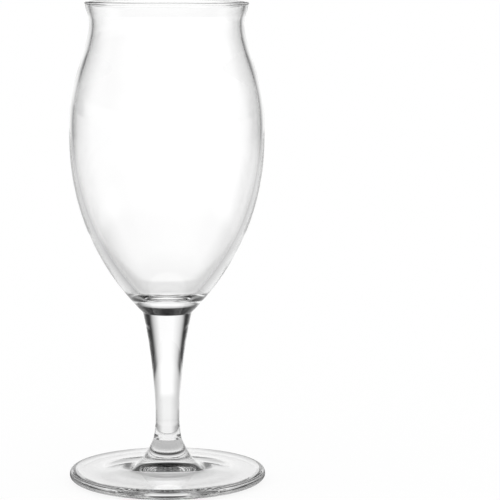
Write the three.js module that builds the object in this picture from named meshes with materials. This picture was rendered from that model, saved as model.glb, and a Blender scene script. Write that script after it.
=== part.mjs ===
// A stemmed beer glass in clear soda-lime glass: a blown bowl, a drawn stem and a pressed foot,
// made apart and fused hot at two flat faces. Millimetres, +Z up. All three pieces are round about Z,
// and the foot's resting ring lies on z = 0.
import * as THREE from "three";

// Foot: a pressed disc with a boss that rises to the stem. Underneath, a shallow hollow rises to a
// kick under the boss.
const footRadius = 41;
const footHeight = 17.85;
const footEdgeHeight = 2.75;
const footTopHeight = 4.95;
const footTopRounding = 1.35;
const footUndercut = 4.9;
const bossRadius = 16.2;
const bossFootHeight = 5.25;
const bossSpread = 5;
const bossSpreadRise = 0.9;
const bossTaper = 1.75;
const bossTaperDrop = 4.65;
const restingRingWidth = 2.6;
const hollowDepth = 0.55;
const hollowSlope = 0.044;
const hollowRun = 5;
const hollowReach = 6.5;
const kickRadius = 20;
const kickDepth = 5.6;
const kickSpread = 8;
const kickReach = 7.2;

// Stem: solid, waisted just above the foot and swelling towards the bowl.
const stemLength = 53.35;
const stemFootRadius = 5.85;
const stemWaistRadius = 4.95;
const stemWaistHeight = 8.15;
const stemHeadRadius = 10.15;
const stemFootFlare = 0.3;
const stemFootLift = 1.65;
const stemWaistDrop = 3;
const stemWaistLift = 8;
const stemHeadTaper = 3.9;
const stemHeadDrop = 17.2;

// Bowl: a full belly drawn in to a neck, then an everted lip with a fire-polished bead.
const bowlHeight = 128.8;
const bellyRadius = 40.35;
const bellyHeight = 77.1;
const bellyDrop = 12.25;
const bellyLift = 21;
const neckRadius = 31.75;
const neckDrop = 7.9;
const neckFall = 10.5;
const neckLift = 1.8;
const lipRadius = 33.85;
const lipLean = 0.28;
const lipFall = 2.15;
const beadSwell = 0.22;
const heelAngle = THREE.MathUtils.degToRad(45.3);
const heelReach = 43.6;

// The bowl's wall: thinnest at the lip and the belly, then thickening down the cone to a solid heel.
const lipWall = 1.6;
const neckWall = 1.83;
const bellyWall = 1.7;
const innerNeckFall = 13.66;
const innerBellyLift = 21.87;
const innerBellyDrop = 19.05;
const coneRadius = 15.3;
const coneHeight = 11.6;
const coneAngle = THREE.MathUtils.degToRad(49.3);
const coneRise = 29.2;
const coneFall = 5.2;
const heelThickness = 7;
const bottomReach = 9.5;

// Facets: flats around each piece, and the length and least number of chords along each curve.
const flats = 48;
const chordLength = 8;
const fewestChords = 6;

function glass(colour) {
  return new THREE.MeshStandardMaterial({
    color: colour, roughness: 0.03, metalness: 0, transparent: true, opacity: 0.35,
  });
}

// The section's corner points, with each curve cut into chords and each line left whole.
function outline(section) {
  const points = [section.curves[0].getPoint(0)];
  for (const curve of section.curves) {
    const chords = Math.max(fewestChords, Math.round(curve.getLength() / chordLength));
    points.push(...curve.getPoints(curve.isLineCurve ? 1 : chords).slice(1));
  }
  return points;
}

// Turns a closed half-section, given as radius and height, about +Z.
function turned(name, section, colour) {
  const geometry = new THREE.LatheGeometry(outline(section), flats);
  geometry.rotateX(Math.PI / 2);
  const mesh = new THREE.Mesh(geometry, glass(colour));
  mesh.name = name;
  return mesh;
}

// Kick and hollow, resting ring, undercut edge, rounded rim, top face, then the boss.
function footSection() {
  const ringOuter = footRadius - footUndercut;
  const ringInner = ringOuter - restingRingWidth;
  const section = new THREE.Path();
  section.moveTo(0, kickDepth);
  section.bezierCurveTo(
    kickReach, kickDepth,
    kickRadius - kickSpread, hollowDepth + hollowSlope * kickSpread,
    kickRadius, hollowDepth,
  );
  section.bezierCurveTo(
    kickRadius + hollowRun, hollowDepth - hollowSlope * hollowRun,
    ringInner - hollowReach, 0,
    ringInner, 0,
  );
  section.lineTo(ringOuter, 0);
  section.absellipse(ringOuter, footEdgeHeight, footUndercut, footEdgeHeight, -Math.PI / 2, 0, false);
  section.absellipse(
    footRadius - footTopRounding, footEdgeHeight,
    footTopRounding, footTopHeight - footEdgeHeight,
    0, Math.PI / 2, false,
  );
  section.lineTo(bossRadius, bossFootHeight);
  section.bezierCurveTo(
    bossRadius - bossSpread, bossFootHeight + bossSpreadRise,
    stemFootRadius + bossTaper, footHeight - bossTaperDrop,
    stemFootRadius, footHeight,
  );
  section.lineTo(0, footHeight);
  return section;
}

// The flat lower end sits on the boss and the flat head carries the bowl.
function stemSection() {
  const bottom = footHeight;
  const waist = bottom + stemWaistHeight;
  const head = bottom + stemLength;
  const section = new THREE.Path();
  section.moveTo(0, bottom);
  section.lineTo(stemFootRadius, bottom);
  section.bezierCurveTo(
    stemFootRadius - stemFootFlare, bottom + stemFootLift,
    stemWaistRadius, waist - stemWaistDrop,
    stemWaistRadius, waist,
  );
  section.bezierCurveTo(
    stemWaistRadius, waist + stemWaistLift,
    stemHeadRadius - stemHeadTaper, head - stemHeadDrop,
    stemHeadRadius, head,
  );
  section.lineTo(0, head);
  return section;
}

// Up the outside from the seat, over the bead, and down the inside to the hollow's bottom.
function bowlSection() {
  const seat = footHeight + stemLength;
  const rim = seat + bowlHeight;
  const belly = seat + bellyHeight;
  const neck = rim - neckDrop;
  const beadRadius = lipWall / 2 + beadSwell;
  const beadAngle = Math.acos(lipWall / 2 / beadRadius);
  const beadHeight = rim - beadRadius;
  const lip = beadHeight - beadRadius * Math.sin(beadAngle);
  const lipOuter = lipRadius - beadSwell;
  const innerNeck = neckRadius - neckWall;
  const innerBelly = bellyRadius - bellyWall;
  const cone = seat + coneHeight;
  const bottom = seat + heelThickness;
  const section = new THREE.Path();
  section.moveTo(0, seat);
  section.lineTo(stemHeadRadius, seat);
  section.bezierCurveTo(
    stemHeadRadius + heelReach * Math.cos(heelAngle), seat + heelReach * Math.sin(heelAngle),
    bellyRadius, belly - bellyDrop,
    bellyRadius, belly,
  );
  section.bezierCurveTo(
    bellyRadius, belly + bellyLift,
    neckRadius, neck - neckFall,
    neckRadius, neck,
  );
  section.bezierCurveTo(
    neckRadius, neck + neckLift,
    lipOuter - lipLean, lip - lipFall,
    lipOuter, lip,
  );
  section.absarc(lipRadius - beadRadius, beadHeight, beadRadius, -beadAngle, Math.PI + beadAngle, false);
  section.bezierCurveTo(
    lipOuter - lipLean - lipWall, lip - lipFall,
    innerNeck, neck + neckLift,
    innerNeck, neck,
  );
  section.bezierCurveTo(
    innerNeck, neck - innerNeckFall,
    innerBelly, belly + innerBellyLift,
    innerBelly, belly,
  );
  section.bezierCurveTo(
    innerBelly, belly - innerBellyDrop,
    coneRadius + coneRise * Math.cos(coneAngle), cone + coneRise * Math.sin(coneAngle),
    coneRadius, cone,
  );
  section.bezierCurveTo(
    coneRadius - coneFall * Math.cos(coneAngle), cone - coneFall * Math.sin(coneAngle),
    bottomReach, bottom,
    0, bottom,
  );
  return section;
}

const stemmedGlass = new THREE.Group();
stemmedGlass.name = "stemmed_glass";
stemmedGlass.add(
  turned("foot", footSection(), 0xdfe6e4),
  turned("stem", stemSection(), 0xe6ecea),
  turned("bowl", bowlSection(), 0xeef2f1),
);

export default stemmedGlass;
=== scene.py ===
# A stemmed beer glass in clear soda-lime glass: a blown bowl, a drawn stem and a pressed foot, fused hot.
# It stands on a white table before a white backdrop, with black flags beside the backdrop and black cloth
# above it, the way clear glass is lit so that its edges draw themselves dark.
import math

import bpy
from mathutils import Matrix


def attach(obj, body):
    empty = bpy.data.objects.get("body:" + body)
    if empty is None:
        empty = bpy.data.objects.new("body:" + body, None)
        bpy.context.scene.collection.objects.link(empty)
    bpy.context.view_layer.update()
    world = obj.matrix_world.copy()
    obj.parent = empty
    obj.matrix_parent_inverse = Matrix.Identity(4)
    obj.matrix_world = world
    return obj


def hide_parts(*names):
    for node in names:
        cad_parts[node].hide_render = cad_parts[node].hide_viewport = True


MM = 0.001

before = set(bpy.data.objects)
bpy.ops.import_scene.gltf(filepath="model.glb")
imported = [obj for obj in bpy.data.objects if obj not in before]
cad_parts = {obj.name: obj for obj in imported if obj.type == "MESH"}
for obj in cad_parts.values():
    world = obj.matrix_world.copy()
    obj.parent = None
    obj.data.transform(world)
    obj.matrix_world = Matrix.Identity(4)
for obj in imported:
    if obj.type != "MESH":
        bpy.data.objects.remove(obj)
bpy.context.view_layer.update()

# Foot, in millimetres: a pressed disc with a boss, a rounded rim, and a hollow that rises to a kick
foot_radius = 41.0
foot_height = 17.85
foot_edge_height = 2.75
foot_top_height = 4.95
foot_top_rounding = 1.35
foot_undercut = 4.9
boss_radius = 16.2
boss_foot_height = 5.25
boss_spread = 5.0
boss_spread_rise = 0.9
boss_taper = 1.75
boss_taper_drop = 4.65
resting_ring_width = 2.6
hollow_depth = 0.55
hollow_slope = 0.044
hollow_run = 5.0
hollow_reach = 6.5
kick_radius = 20.0
kick_depth = 5.6
kick_spread = 8.0
kick_reach = 7.2

# Stem: solid, waisted just above the foot and swelling towards the bowl
stem_length = 53.35
stem_foot_radius = 5.85
stem_waist_radius = 4.95
stem_waist_height = 8.15
stem_head_radius = 10.15
stem_foot_flare = 0.3
stem_foot_lift = 1.65
stem_waist_drop = 3.0
stem_waist_lift = 8.0
stem_head_taper = 3.9
stem_head_drop = 17.2

# Bowl: a full belly drawn in to a neck, then an everted lip that ends in a fire-polished bead
bowl_height = 128.8
belly_radius = 40.35
belly_height = 77.1
belly_drop = 12.25
belly_lift = 21.0
neck_radius = 31.85
neck_drop = 8.6
neck_fall = 9.8
neck_lift = 2.4
lip_radius = 33.85
lip_fall = 3.2
bead_half_width = 1.17
bead_half_height = 0.7
heel_angle = math.radians(45.3)
heel_reach = 43.6

# Where the outside and the inside of the lip run into the bead, and how far each leans in below it
outer_join_radius = 33.6
inner_join_radius = 31.6
outer_lean = 0.55
inner_lean = 0.3

# The bowl's wall: thin at the neck and the belly, then thickening down the cone to a solid heel
neck_wall = 1.72
belly_wall = 1.7
inner_neck_fall = 13.66
inner_belly_lift = 21.87
inner_belly_drop = 19.05
cone_radius = 15.3
cone_height = 11.6
cone_angle = math.radians(49.3)
cone_rise = 29.2
cone_fall = 5.2
heel_thickness = 7.0
bottom_reach = 9.5

# Steps round each piece, along its curves for each millimetre, and along the forms that have their own
TURNS = 240
STEPS_PER_MM = 1.3
FEWEST_STEPS = 16
ARC_STEPS = 28
FOOT_TOP_STEPS = 14
BOSS_STEPS = 50
BOTTOM_STEPS = 36

# How near two points are when they are one, how near a joint's height its faces are, both in millimetres, and
# how far two faces turn from each other before the edge between them is left sharp
WELD = 0.002
AT_JOINT = 0.001
SMOOTH_ANGLE = math.radians(20)

SEAT = foot_height + stem_length
RIM = SEAT + bowl_height


def linear(text):
    """An sRGB hex colour as linear red, green, blue and alpha."""
    parts = [int(text[i:i + 2], 16) / 255 for i in (0, 2, 4)]
    return tuple(c / 12.92 if c <= 0.04045 else ((c + 0.055) / 1.055) ** 2.4 for c in parts) + (1.0,)


def curve(points, first_handle, last_handle, end, fewest=FEWEST_STEPS):
    """Carries the section on from its last point along one curve with two handles."""
    start = points[-1]
    steps = max(fewest, round(math.dist(start, end) * STEPS_PER_MM))
    for i in range(1, steps + 1):
        t = i / steps
        weights = ((1 - t) ** 3, 3 * (1 - t) ** 2 * t, 3 * (1 - t) * t * t, t ** 3)
        corners = (start, first_handle, last_handle, end)
        points.append(tuple(sum(w * c[axis] for w, c in zip(weights, corners)) for axis in (0, 1)))


def arc(points, centre, radii, start, end):
    """Carries the section on round part of an ellipse."""
    for i in range(1, ARC_STEPS + 1):
        angle = start + (end - start) * i / ARC_STEPS
        points.append((centre[0] + radii[0] * math.cos(angle), centre[1] + radii[1] * math.sin(angle)))


def line(points, end, steps=1):
    """Carries the section on along a straight line."""
    start = points[-1]
    points += [tuple(a + (b - a) * i / steps for a, b in zip(start, end)) for i in range(1, steps + 1)]


def foot_section():
    """Kick and hollow, resting ring, undercut edge, rounded rim, top face, then the boss."""
    ring_outer = foot_radius - foot_undercut
    ring_inner = ring_outer - resting_ring_width
    points = [(0.0, kick_depth)]
    curve(points, (kick_reach, kick_depth),
          (kick_radius - kick_spread, hollow_depth + hollow_slope * kick_spread), (kick_radius, hollow_depth))
    curve(points, (kick_radius + hollow_run, hollow_depth - hollow_slope * hollow_run),
          (ring_inner - hollow_reach, 0.0), (ring_inner, 0.0))
    line(points, (ring_outer, 0.0))
    arc(points, (ring_outer, foot_edge_height), (foot_undercut, foot_edge_height), -math.pi / 2, 0)
    arc(points, (foot_radius - foot_top_rounding, foot_edge_height),
        (foot_top_rounding, foot_top_height - foot_edge_height), 0, math.pi / 2)
    line(points, (boss_radius, boss_foot_height), FOOT_TOP_STEPS)
    curve(points, (boss_radius - boss_spread, boss_foot_height + boss_spread_rise),
          (stem_foot_radius + boss_taper, foot_height - boss_taper_drop), (stem_foot_radius, foot_height),
          BOSS_STEPS)
    line(points, (0.0, foot_height))
    return points


def stem_section():
    """Its flat lower end sits on the boss and its flat head carries the bowl."""
    waist = foot_height + stem_waist_height
    points = [(0.0, foot_height)]
    line(points, (stem_foot_radius, foot_height))
    curve(points, (stem_foot_radius - stem_foot_flare, foot_height + stem_foot_lift),
          (stem_waist_radius, waist - stem_waist_drop), (stem_waist_radius, waist))
    curve(points, (stem_waist_radius, waist + stem_waist_lift),
          (stem_head_radius - stem_head_taper, SEAT - stem_head_drop), (stem_head_radius, SEAT))
    line(points, (0.0, SEAT))
    return points


def bowl_section():
    """Up the outside from the seat, over the bead, and down the inside to the hollow's bottom."""
    belly = SEAT + belly_height
    neck = RIM - neck_drop
    bead_centre = lip_radius - bead_half_width
    bead_level = RIM - bead_half_height
    outer_turn = math.acos((outer_join_radius - bead_centre) / bead_half_width)
    inner_turn = math.acos((bead_centre - inner_join_radius) / bead_half_width)
    outer_join = bead_level - bead_half_height * math.sin(outer_turn)
    inner_join = bead_level - bead_half_height * math.sin(inner_turn)
    inner_neck = neck_radius - neck_wall
    inner_belly = belly_radius - belly_wall
    cone = SEAT + cone_height
    bottom = SEAT + heel_thickness
    across = math.cos(cone_angle)
    up = math.sin(cone_angle)
    points = [(0.0, SEAT)]
    line(points, (stem_head_radius, SEAT))
    curve(points,
          (stem_head_radius + heel_reach * math.cos(heel_angle), SEAT + heel_reach * math.sin(heel_angle)),
          (belly_radius, belly - belly_drop), (belly_radius, belly))
    curve(points, (belly_radius, belly + belly_lift), (neck_radius, neck - neck_fall), (neck_radius, neck))
    curve(points, (neck_radius, neck + neck_lift), (outer_join_radius - outer_lean, outer_join - lip_fall),
          (outer_join_radius, outer_join))
    arc(points, (bead_centre, bead_level), (bead_half_width, bead_half_height),
        -outer_turn, math.pi + inner_turn)
    curve(points, (inner_join_radius - inner_lean, inner_join - lip_fall), (inner_neck, neck + neck_lift),
          (inner_neck, neck))
    curve(points, (inner_neck, neck - inner_neck_fall), (inner_belly, belly + inner_belly_lift),
          (inner_belly, belly))
    curve(points, (inner_belly, belly - inner_belly_drop),
          (cone_radius + cone_rise * across, cone + cone_rise * up), (cone_radius, cone))
    curve(points, (cone_radius - cone_fall * across, cone - cone_fall * up), (bottom_reach, bottom),
          (0.0, bottom), BOTTOM_STEPS)
    return points


def turned(name, section):
    """Draws the half-section as one run of edges and spins it about the axis into a closed skin."""
    bpy.ops.object.select_all(action="DESELECT")
    bpy.ops.mesh.primitive_plane_add(size=2 * MM)
    piece = bpy.context.object
    piece.name = piece.data.name = name
    bpy.ops.object.mode_set(mode="EDIT")
    bpy.ops.mesh.select_all(action="SELECT")
    bpy.ops.mesh.merge(type="CENTER")
    bpy.ops.transform.translate(value=(section[0][0] * MM, 0, section[0][1] * MM))
    for a, b in zip(section, section[1:]):
        step = ((b[0] - a[0]) * MM, 0, (b[1] - a[1]) * MM)
        bpy.ops.mesh.extrude_vertices_move(TRANSFORM_OT_translate={"value": step})
    bpy.ops.mesh.select_all(action="SELECT")
    bpy.ops.mesh.spin(steps=TURNS, angle=2 * math.pi, center=(0, 0, 0), axis=(0, 0, 1))
    bpy.ops.mesh.select_all(action="SELECT")
    bpy.ops.mesh.remove_doubles(threshold=WELD * MM)
    bpy.ops.mesh.normals_make_consistent(inside=False)
    bpy.ops.object.mode_set(mode="OBJECT")
    bpy.ops.object.shade_smooth_by_angle(angle=SMOOTH_ANGLE)
    return piece


def add_node(tree, kind, settings=None, links=None, stops=None):
    """Adds a node, sets its properties, sockets and ramp stops, and links the named sockets."""
    node = tree.nodes.new(kind)
    for key, value in (settings or {}).items():
        if isinstance(key, str) and hasattr(node, key):
            setattr(node, key, value)
        else:
            node.inputs[key].default_value = value
    for key, output in (links or {}).items():
        tree.links.new(output, node.inputs[key])
    for i, (place, level) in enumerate(stops or ()):
        elements = node.color_ramp.elements
        stop = elements[i] if i < len(elements) else elements.new(place)
        stop.position = place
        stop.color = (level, level, level, 1.0)
    return node


def empty_material(name):
    """A material whose nodes are still to be added."""
    material = bpy.data.materials.new(name)
    material.use_nodes = True
    material.node_tree.nodes.clear()
    return material


def clear_glass(name, wave_length, wave_depth):
    """Clear soda-lime glass: colourless, fire-polished, with the slow waviness of hot-worked glass."""
    material = empty_material(name)
    tree = material.node_tree
    place = add_node(tree, "ShaderNodeTexCoord")
    waves = add_node(tree, "ShaderNodeTexNoise",
                     {"Scale": 1 / (wave_length * MM), "Detail": 2.0, "Roughness": 0.4},
                     {"Vector": place.outputs["Object"]})
    bump = add_node(tree, "ShaderNodeBump", {"Strength": 1.0, "Distance": wave_depth * MM},
                    {"Height": waves.outputs["Fac"]})
    glass = add_node(tree, "ShaderNodeBsdfPrincipled",
                     {"Base Color": linear("ffffff"), "Roughness": 0.0, "IOR": 1.5,
                      "Transmission Weight": 1.0},
                     {"Normal": bump.outputs["Normal"]})
    add_node(tree, "ShaderNodeOutputMaterial", links={"Surface": glass.outputs[0]})
    return material


def fused_joint():
    """The face where two hot pieces were fused: no surface is left there, so light goes straight on."""
    material = empty_material("fused_joint")
    through = add_node(material.node_tree, "ShaderNodeBsdfTransparent")
    add_node(material.node_tree, "ShaderNodeOutputMaterial", links={"Surface": through.outputs[0]})
    return material


def dress(piece, node, glass, joint, heights):
    """Gives a piece its glass, and its fused faces at the given heights the joint."""
    piece.data.materials.append(glass)
    piece.data.materials.append(joint)
    for face in piece.data.polygons:
        levels = [piece.data.vertices[v].co.z / MM for v in face.vertices]
        if any(all(abs(level - height) < AT_JOINT for level in levels) for height in heights):
            face.material_index = 1
    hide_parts(node)
    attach(piece, "root")


# The length and depth in millimetres of the waves that each way of working leaves in the glass. They bend the
# bowl's dark lines a little and the stem's less, and the foot came all but smooth from its mould.
blown_waves = (30, 0.01)
drawn_waves = (12, 0.004)
pressed_waves = (6, 0.001)

joint = fused_joint()
bowl = turned("blown_bowl", bowl_section())
dress(bowl, "bowl", clear_glass("blown_soda_lime_glass", *blown_waves), joint, (SEAT,))
stem = turned("drawn_stem", stem_section())
dress(stem, "stem", clear_glass("drawn_soda_lime_glass", *drawn_waves), joint, (foot_height, SEAT))
foot = turned("pressed_foot", foot_section())
dress(foot, "foot", clear_glass("pressed_soda_lime_glass", *pressed_waves), joint, (foot_height,))

# Studio, as the glass sees it. Each ring is brightness by heading, in degrees from the view direction and
# positive to the right: a white backdrop between two black flags, and a white card on the left and a grey
# one on the right. Over them come a strip of grey, the dim room above the cards, and a dark ceiling.
backdrop_ring = (
    (-180, 0.85), (-130, 0.85), (-112, 0.75), (-90, 0.95), (-78, 0.95), (-70, 0.85), (-60, 0.1), (-54, 0.02),
    (-45, 0.01), (-41, 0.05), (-37, 0.28), (-33, 0.55), (-28, 0.75), (-22, 0.88), (-12, 1.05), (12, 1.03),
    (20, 0.76), (25, 0.58), (29, 0.36), (33, 0.14), (38, 0.01), (58, 0.01), (64, 0.08), (72, 0.3), (90, 0.4),
    (112, 0.4), (130, 0.85), (180, 0.85),
)
strip_ring = (
    (-180, 0.3), (-150, 0.3), (-120, 0.2), (-104, 0.2), (-90, 0.55), (-76, 0.6), (-62, 0.1), (-50, 0.01),
    (-38, 0.03), (-33, 0.2), (-27, 0.42), (-18, 0.6), (-10, 0.7), (0, 0.75), (10, 0.7), (18, 0.55),
    (25, 0.36), (29, 0.22), (33, 0.03), (54, 0.01), (64, 0.15), (74, 0.35), (88, 0.25), (100, 0.06),
    (120, 0.12), (140, 0.3), (180, 0.3),
)
room_ring = (
    (-180, 0.35), (-165, 0.5), (-140, 0.2), (-110, 0.06), (-98, 0.2), (-88, 0.6), (-76, 0.6), (-64, 0.1),
    (-50, 0.02), (-18, 0.06), (0, 0.12), (18, 0.06), (50, 0.01), (66, 0.1), (76, 0.55), (88, 0.6), (98, 0.2),
    (110, 0.05), (140, 0.2), (165, 0.45), (180, 0.35),
)
ceiling_ring = (
    (-180, 0.0), (-140, 0.04), (-110, 0.08), (-90, 0.4), (-76, 0.35), (-62, 0.03), (0, 0.0), (62, 0.03),
    (76, 0.35), (90, 0.4), (110, 0.08), (140, 0.04), (180, 0.0),
)
# The table's painted light and shade by heading, as rays that left the glass see it, from the foot outwards:
# the painted shadow round the foot, then close, near and far, each with painted shade and light by heading,
# and last deep in the room, where the backdrop, the flags and the cards are painted into it as reflections
foot_shade = (
    (-180, 0.1), (-100, 0.06), (-70, 0.12), (-50, 0.3), (-30, 0.45), (-12, 0.9), (12, 0.9), (30, 0.45),
    (50, 0.3), (70, 0.12), (100, 0.06), (180, 0.1),
)
close_table = (
    (-180, 0.8), (-130, 0.7), (-105, 0.4), (-65, 0.3), (-50, 0.45), (-42, 0.6), (-32, 0.7), (-20, 0.8),
    (-10, 0.9), (10, 0.9), (20, 0.8), (32, 0.7), (42, 0.6), (50, 0.45), (65, 0.3), (105, 0.4), (130, 0.7),
    (180, 0.8),
)
near_table = (
    (-180, 1.0), (-125, 1.05), (-110, 1.2), (-84, 1.15), (-72, 0.85), (-60, 0.58), (-48, 0.6), (-33, 0.66),
    (-21, 0.78), (-10, 0.9), (10, 0.9), (21, 0.8), (33, 0.68), (45, 0.6), (60, 0.5), (72, 0.65), (84, 1.05),
    (108, 1.15), (125, 1.0), (180, 1.0),
)
far_table = (
    (-180, 1.0), (-125, 1.0), (-110, 0.95), (-84, 1.15), (-66, 1.0), (-54, 0.62), (-40, 0.6), (-27, 0.78),
    (-15, 1.03), (0, 1.1), (14, 1.05), (27, 0.76), (36, 0.62), (48, 0.5), (66, 0.68), (87, 0.8), (105, 0.8),
    (125, 1.0), (180, 1.0),
)
deep_table = (
    (-180, 0.95), (-130, 0.95), (-110, 0.7), (-87, 0.95), (-63, 0.86), (-54, 0.45), (-45, 0.08), (-38, 0.14),
    (-33, 0.35), (-28, 0.66), (-22, 0.8), (-15, 0.98), (0, 1.13), (14, 0.95), (22, 0.74), (27, 0.46),
    (32, 0.2), (38, 0.08), (45, 0.04), (54, 0.14), (66, 0.45), (90, 0.5), (110, 0.5), (130, 0.95),
    (180, 0.95),
)
# Degrees above the horizon, and millimetres from the glass, over which each ring passes into the next
ring_tops = ((5, 9), (11, 18), (24, 40))
table_turns = ((60, 85), (180, 225), (260, 340), (600, 1400))
# The table seen through the foot: painted shade under the boss, and painted light in front of it and behind
# it
boss_painted_shade = 0.6
front_painted_light = 1.15
back_painted_light = 1.2
# Millimetres over which the boss, the front and the foot each pass into what lies beyond
boss_edge = (10, 24)
foot_front = (-5, 15)
foot_edge = (37, 43)


def blend(tree, value, between, low, high):
    """Passes softly from one level to the other while the value crosses the two edges."""
    factor = add_node(tree, "ShaderNodeMapRange",
                      {"interpolation_type": "SMOOTHSTEP", "From Min": between[0], "From Max": between[1]},
                      {"Value": value})
    mixed = add_node(tree, "ShaderNodeMix", {"data_type": "FLOAT"}, {"Factor": factor.outputs[0]})
    for name, level in (("A", low), ("B", high)):
        if isinstance(level, float):
            mixed.inputs[name].default_value = level
        else:
            tree.links.new(level, mixed.inputs[name])
    return mixed.outputs[0]


def ringed(tree, vector, height, rings, edges):
    """Rings of brightness by the vector's heading, one past another as the height crosses their edges."""
    axes = add_node(tree, "ShaderNodeSeparateXYZ", links={"Vector": vector})
    turn = add_node(tree, "ShaderNodeMath", {"operation": "ARCTAN2"},
                    {0: axes.outputs[0], 1: axes.outputs[1]})
    heading = add_node(tree, "ShaderNodeMath", {"operation": "MULTIPLY_ADD", 1: 0.5 / math.pi, 2: 0.5},
                       {0: turn.outputs[0]})
    levels = [add_node(tree, "ShaderNodeValToRGB", links={"Fac": heading.outputs[0]},
                       stops=[(degrees / 360 + 0.5, level) for degrees, level in ring]).outputs["Color"]
              for ring in rings]
    level = levels[0]
    for between, further in zip(edges, levels[1:]):
        level = blend(tree, height, between, level, further)
    return level


def seen_in_glass(tree, pattern):
    """The pattern for rays that left the glass by reflection or refraction, and plain white for others.

    With it comes 1 for those rays and the camera's own, and 0 for light on its way to lit things.
    """
    rays = add_node(tree, "ShaderNodeLightPath")
    glassy = add_node(tree, "ShaderNodeMath", {"operation": "MAXIMUM"},
                      {0: rays.outputs["Is Glossy Ray"], 1: rays.outputs["Is Transmission Ray"]})
    level = add_node(tree, "ShaderNodeMix", {"data_type": "FLOAT", "A": 1.0},
                     {"Factor": glassy.outputs[0], "B": pattern})
    seen = add_node(tree, "ShaderNodeMath", {"operation": "MAXIMUM"},
                    {0: glassy.outputs[0], 1: rays.outputs["Is Camera Ray"]})
    return level.outputs[0], seen.outputs[0]


world = bpy.data.worlds.new("studio")
bpy.context.scene.world = world
world.use_nodes = True
tree = world.node_tree
tree.nodes.clear()
place = add_node(tree, "ShaderNodeTexCoord")
axes = add_node(tree, "ShaderNodeSeparateXYZ", links={"Vector": place.outputs["Generated"]})
radians = add_node(tree, "ShaderNodeMath", {"operation": "ARCSINE"}, {0: axes.outputs[2]})
elevation = add_node(tree, "ShaderNodeMath", {"operation": "DEGREES"}, {0: radians.outputs[0]})
walls = ringed(tree, place.outputs["Generated"], elevation.outputs[0],
               (backdrop_ring, strip_ring, room_ring, ceiling_ring), ring_tops)
level, _ = seen_in_glass(tree, walls)
light = add_node(tree, "ShaderNodeBackground", {"Color": linear("ffffff")}, {"Strength": level})
add_node(tree, "ShaderNodeOutputWorld", links={"Surface": light.outputs[0]})

# White laminate table, so wide in metres that it ends close under the horizon, and a hair in millimetres
# below the foot. A small share of its white is lit paint, so that the glass shades it a little. The rest
# glows, white to the camera, and to rays that left the glass both carry the painted light and shade above.
table_width = 160.0
table_gap = 0.05
table_paint = 0.12
bpy.ops.object.select_all(action="DESELECT")
bpy.ops.mesh.primitive_plane_add(size=table_width, location=(0, 0, -table_gap * MM))
table = bpy.context.object
table.name = "table_top"
material = empty_material("white_table_painted_shade")
tree = material.node_tree
place = add_node(tree, "ShaderNodeTexCoord")
axes = add_node(tree, "ShaderNodeSeparateXYZ", links={"Vector": place.outputs["Object"]})
reach = add_node(tree, "ShaderNodeVectorMath", {"operation": "LENGTH"}, {"Vector": place.outputs["Object"]})
distance = add_node(tree, "ShaderNodeMath", {"operation": "DIVIDE", 1: MM}, {0: reach.outputs["Value"]})
backward = add_node(tree, "ShaderNodeMath", {"operation": "DIVIDE", 1: MM}, {0: axes.outputs[1]})
# Painted light and shade on the open table, from the painted shadow round the foot out to the horizon
painted_table_shade = ringed(tree, place.outputs["Object"], distance.outputs[0],
                    (foot_shade, close_table, near_table, far_table, deep_table), table_turns)
# Painted light under the foot's plate, painted shade under the boss, then the open table's painted light and
# shade
plate_painted_light = blend(tree, backward.outputs[0], foot_front, front_painted_light, back_painted_light)
foot_painted_light_and_shade = blend(tree, distance.outputs[0], boss_edge, boss_painted_shade, plate_painted_light)
top = blend(tree, distance.outputs[0], foot_edge, foot_painted_light_and_shade, painted_table_shade)
level, seen = seen_in_glass(tree, top)
# The painted light and shade scales both the lit paint and the glow. The camera sees only white.
colour = add_node(tree, "ShaderNodeMath", {"operation": "MULTIPLY", 1: table_paint}, {0: level})
own = add_node(tree, "ShaderNodeMath", {"operation": "MULTIPLY", 1: 1 - table_paint}, {0: level})
glow = add_node(tree, "ShaderNodeMath", {"operation": "MULTIPLY"}, {0: own.outputs[0], 1: seen})
white = add_node(tree, "ShaderNodeEmission", {"Color": linear("ffffff")}, {"Strength": glow.outputs[0]})
paint = add_node(tree, "ShaderNodeBsdfDiffuse", links={"Color": colour.outputs[0]})
both = add_node(tree, "ShaderNodeAddShader", links={0: white.outputs[0], 1: paint.outputs[0]})
add_node(tree, "ShaderNodeOutputMaterial", links={"Surface": both.outputs[0]})
table.data.materials.append(material)

# Camera: a little above the rim and dipped towards the glass, with its place in millimetres
camera_place = (34.38, -940.0, 219.69)
camera_dip = 0.1294
camera_roll = 0.0029
view_angle = 2 * math.radians(6.2529)
camera = bpy.data.objects.new("camera", bpy.data.cameras.new("camera"))
bpy.context.collection.objects.link(camera)
camera.data.sensor_fit = "AUTO"
camera.data.angle = view_angle
camera.data.clip_start = 0.01
camera.data.clip_end = 200
camera.matrix_world = (
    Matrix.Translation([axis * MM for axis in camera_place])
    @ Matrix.Rotation(math.pi / 2 - camera_dip, 4, "X")
    @ Matrix.Rotation(camera_roll, 4, "Z")
)
bpy.context.scene.camera = camera

# Light passes the skins of both walls of the bowl, and is turned back many times in heel, stem and foot
light_bounces = 32
scene = bpy.context.scene
scene.view_settings.view_transform = "Standard"
scene.cycles.max_bounces = light_bounces
scene.cycles.transmission_bounces = light_bounces
scene.cycles.glossy_bounces = light_bounces
scene.cycles.transparent_max_bounces = light_bounces
scene.cycles.sample_clamp_indirect = 0.0
